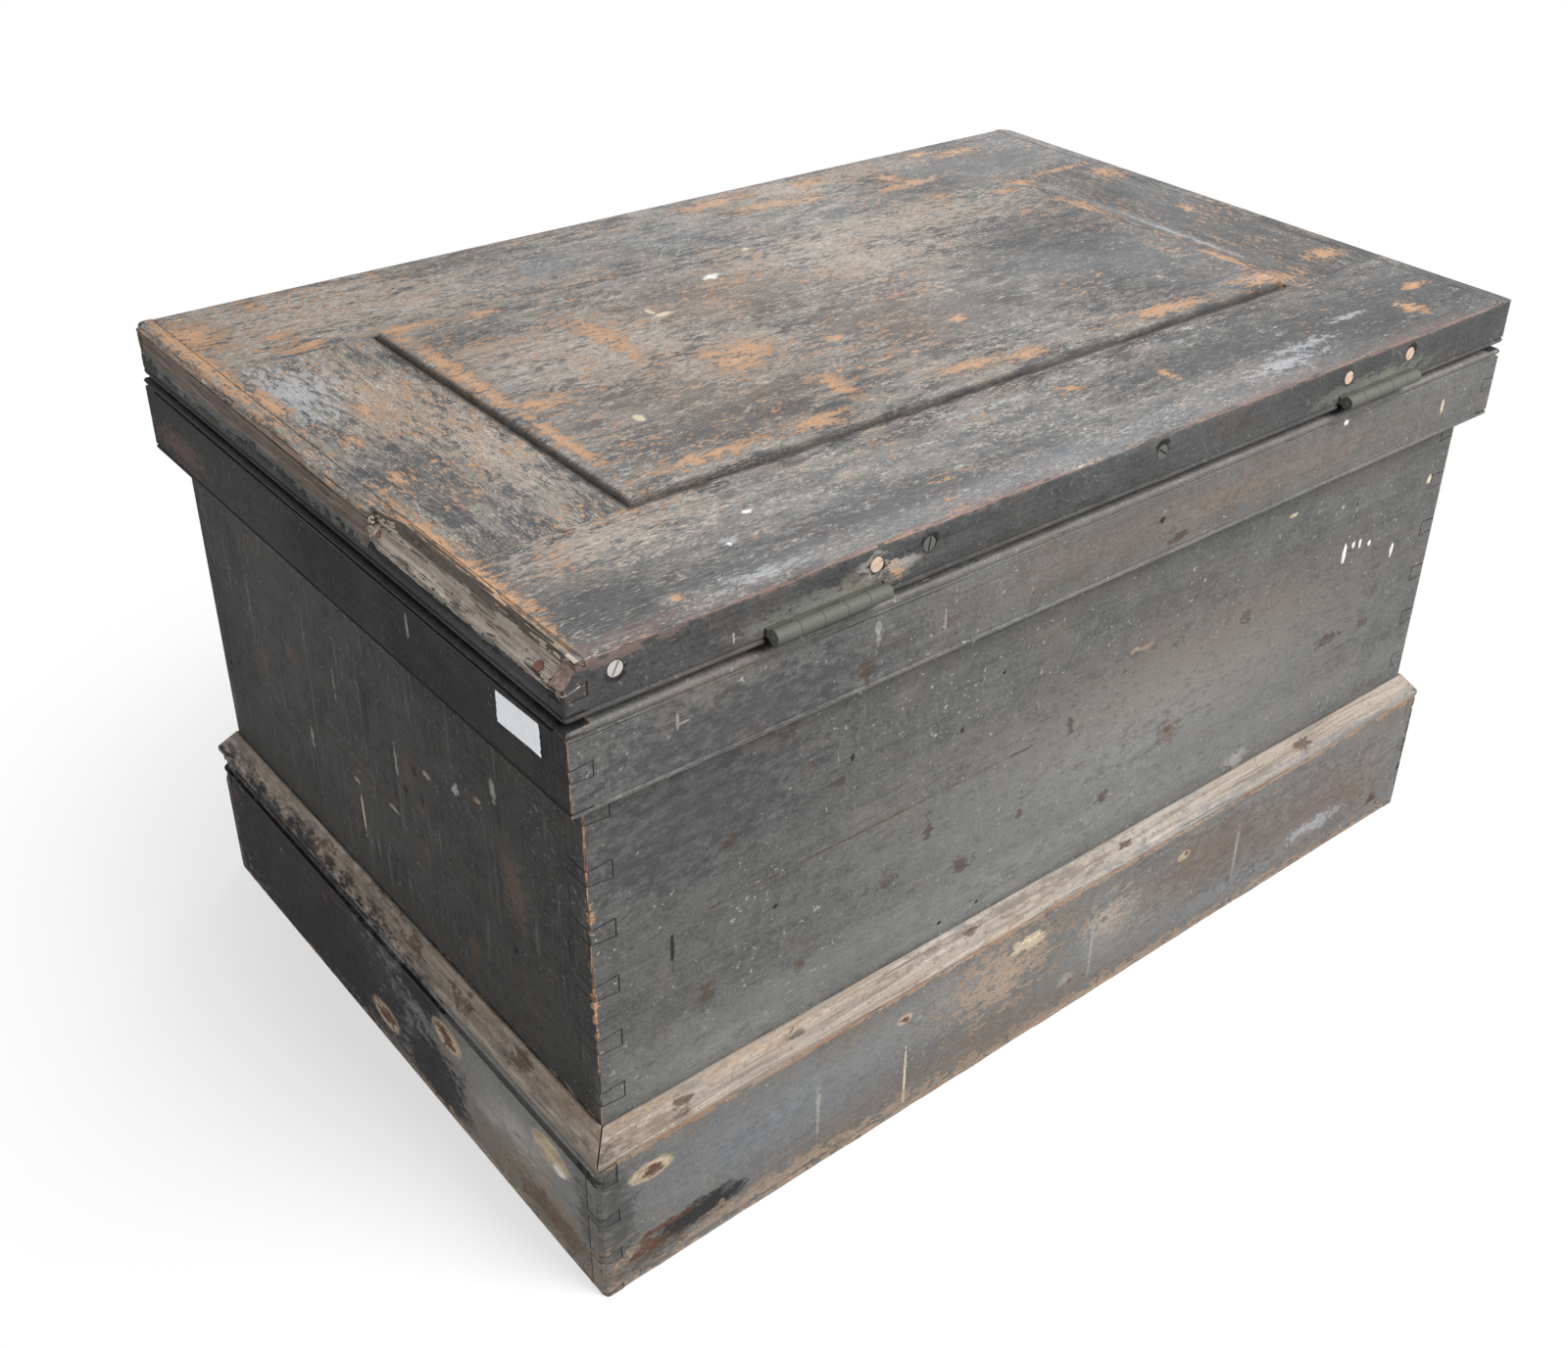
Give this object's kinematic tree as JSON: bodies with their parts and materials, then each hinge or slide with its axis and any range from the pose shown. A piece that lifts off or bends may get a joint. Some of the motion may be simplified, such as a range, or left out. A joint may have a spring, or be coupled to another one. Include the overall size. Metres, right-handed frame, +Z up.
{
  "type": "tool chest",
  "caption": "Joiner's wooden tool chest: a dovetailed case on a plinth with a sloped sill, a banded rim, a hinged frame-and-panel lid with a skirt, and sliding tills inside.",
  "frame": {"origin": "on the floor, under the middle of the chest's overall box", "axes": "+X runs along the chest to its right end, +Y from the front to the back where the hinges are, +Z up"},
  "size_m": [0.965, 0.6446, 0.552],
  "materials": {
    "painted_wood": "old dark grey-green paint, worn to bare wood on the arrises",
    "lid_wood": "dark paint worn thin and weathered grey-brown",
    "sill_wood": "worn brown wood with the remains of dark paint",
    "bare_pine": "unfinished aged pine",
    "dark_iron": "dark iron with traces of paint",
    "screw_steel": "worn steel",
    "brass": "aged brass"
  },
  "bodies": {
    "case": {"band_back": "painted_wood", "band_front": "painted_wood", "band_left": "painted_wood", "band_right": "painted_wood", "base_back": "painted_wood", "base_front": "painted_wood", "base_left": "painted_wood", "base_right": "painted_wood", "bottom_board_1": "bare_pine", "bottom_board_2": "bare_pine", "bottom_board_3": "bare_pine", "bottom_board_4": "bare_pine", "case_back": "painted_wood", "case_front": "painted_wood", "case_left": "painted_wood", "case_right": "painted_wood", "escutcheon": "brass", "hinge_left_case_leaf": "dark_iron", "hinge_left_pin": "dark_iron", "hinge_right_case_leaf": "dark_iron", "hinge_right_pin": "dark_iron", "lock_case": "dark_iron", "sill_back": "sill_wood", "sill_front": "sill_wood", "sill_left": "sill_wood", "sill_right": "sill_wood", "till_runner_lower_left": "bare_pine", "till_runner_lower_right": "bare_pine", "till_runner_upper_left": "bare_pine", "till_runner_upper_right": "bare_pine"},
    "lid": {"hinge_left_lid_leaf": "dark_iron", "hinge_right_lid_leaf": "dark_iron", "lid_panel": "lid_wood", "lid_rail_back": "lid_wood", "lid_rail_front": "lid_wood", "lid_skirt_back": "painted_wood", "lid_skirt_front": "painted_wood", "lid_skirt_left": "painted_wood", "lid_skirt_right": "painted_wood", "lid_skirt_screw_1": "screw_steel", "lid_skirt_screw_2": "screw_steel", "lid_skirt_screw_3": "screw_steel", "lid_skirt_screw_4": "screw_steel", "lid_skirt_screw_5": "screw_steel", "lid_skirt_screw_6": "screw_steel", "lid_stile_left": "lid_wood", "lid_stile_right": "lid_wood", "link_plate": "dark_iron"},
    "till_upper": {"till_upper_back": "bare_pine", "till_upper_bottom": "bare_pine", "till_upper_front": "bare_pine", "till_upper_left": "bare_pine", "till_upper_right": "bare_pine"},
    "till_lower": {"till_lower_back": "bare_pine", "till_lower_bottom": "bare_pine", "till_lower_front": "bare_pine", "till_lower_left": "bare_pine", "till_lower_right": "bare_pine"},
    "lock_bolt": {"lock_bolt": "brass"}
  },
  "joints": [
    {"name": "lid_hinge", "type": "hinge", "parent": "case", "child": "lid", "pos_m": [0, 0.31675, 0.51555], "axis": [-1, 0, 0], "range_deg": [0, 105]},
    {"name": "till_upper_slide", "type": "slide", "parent": "case", "child": "till_upper", "axis": [0, -1, 0], "range_m": [0, 0.348]},
    {"name": "till_lower_slide", "type": "slide", "parent": "case", "child": "till_lower", "axis": [0, -1, 0], "range_m": [0, 0.318]},
    {"name": "lock_bolt_slide", "type": "slide", "parent": "case", "child": "lock_bolt", "axis": [1, 0, 0], "range_m": [0, 0.007]}
  ]
}
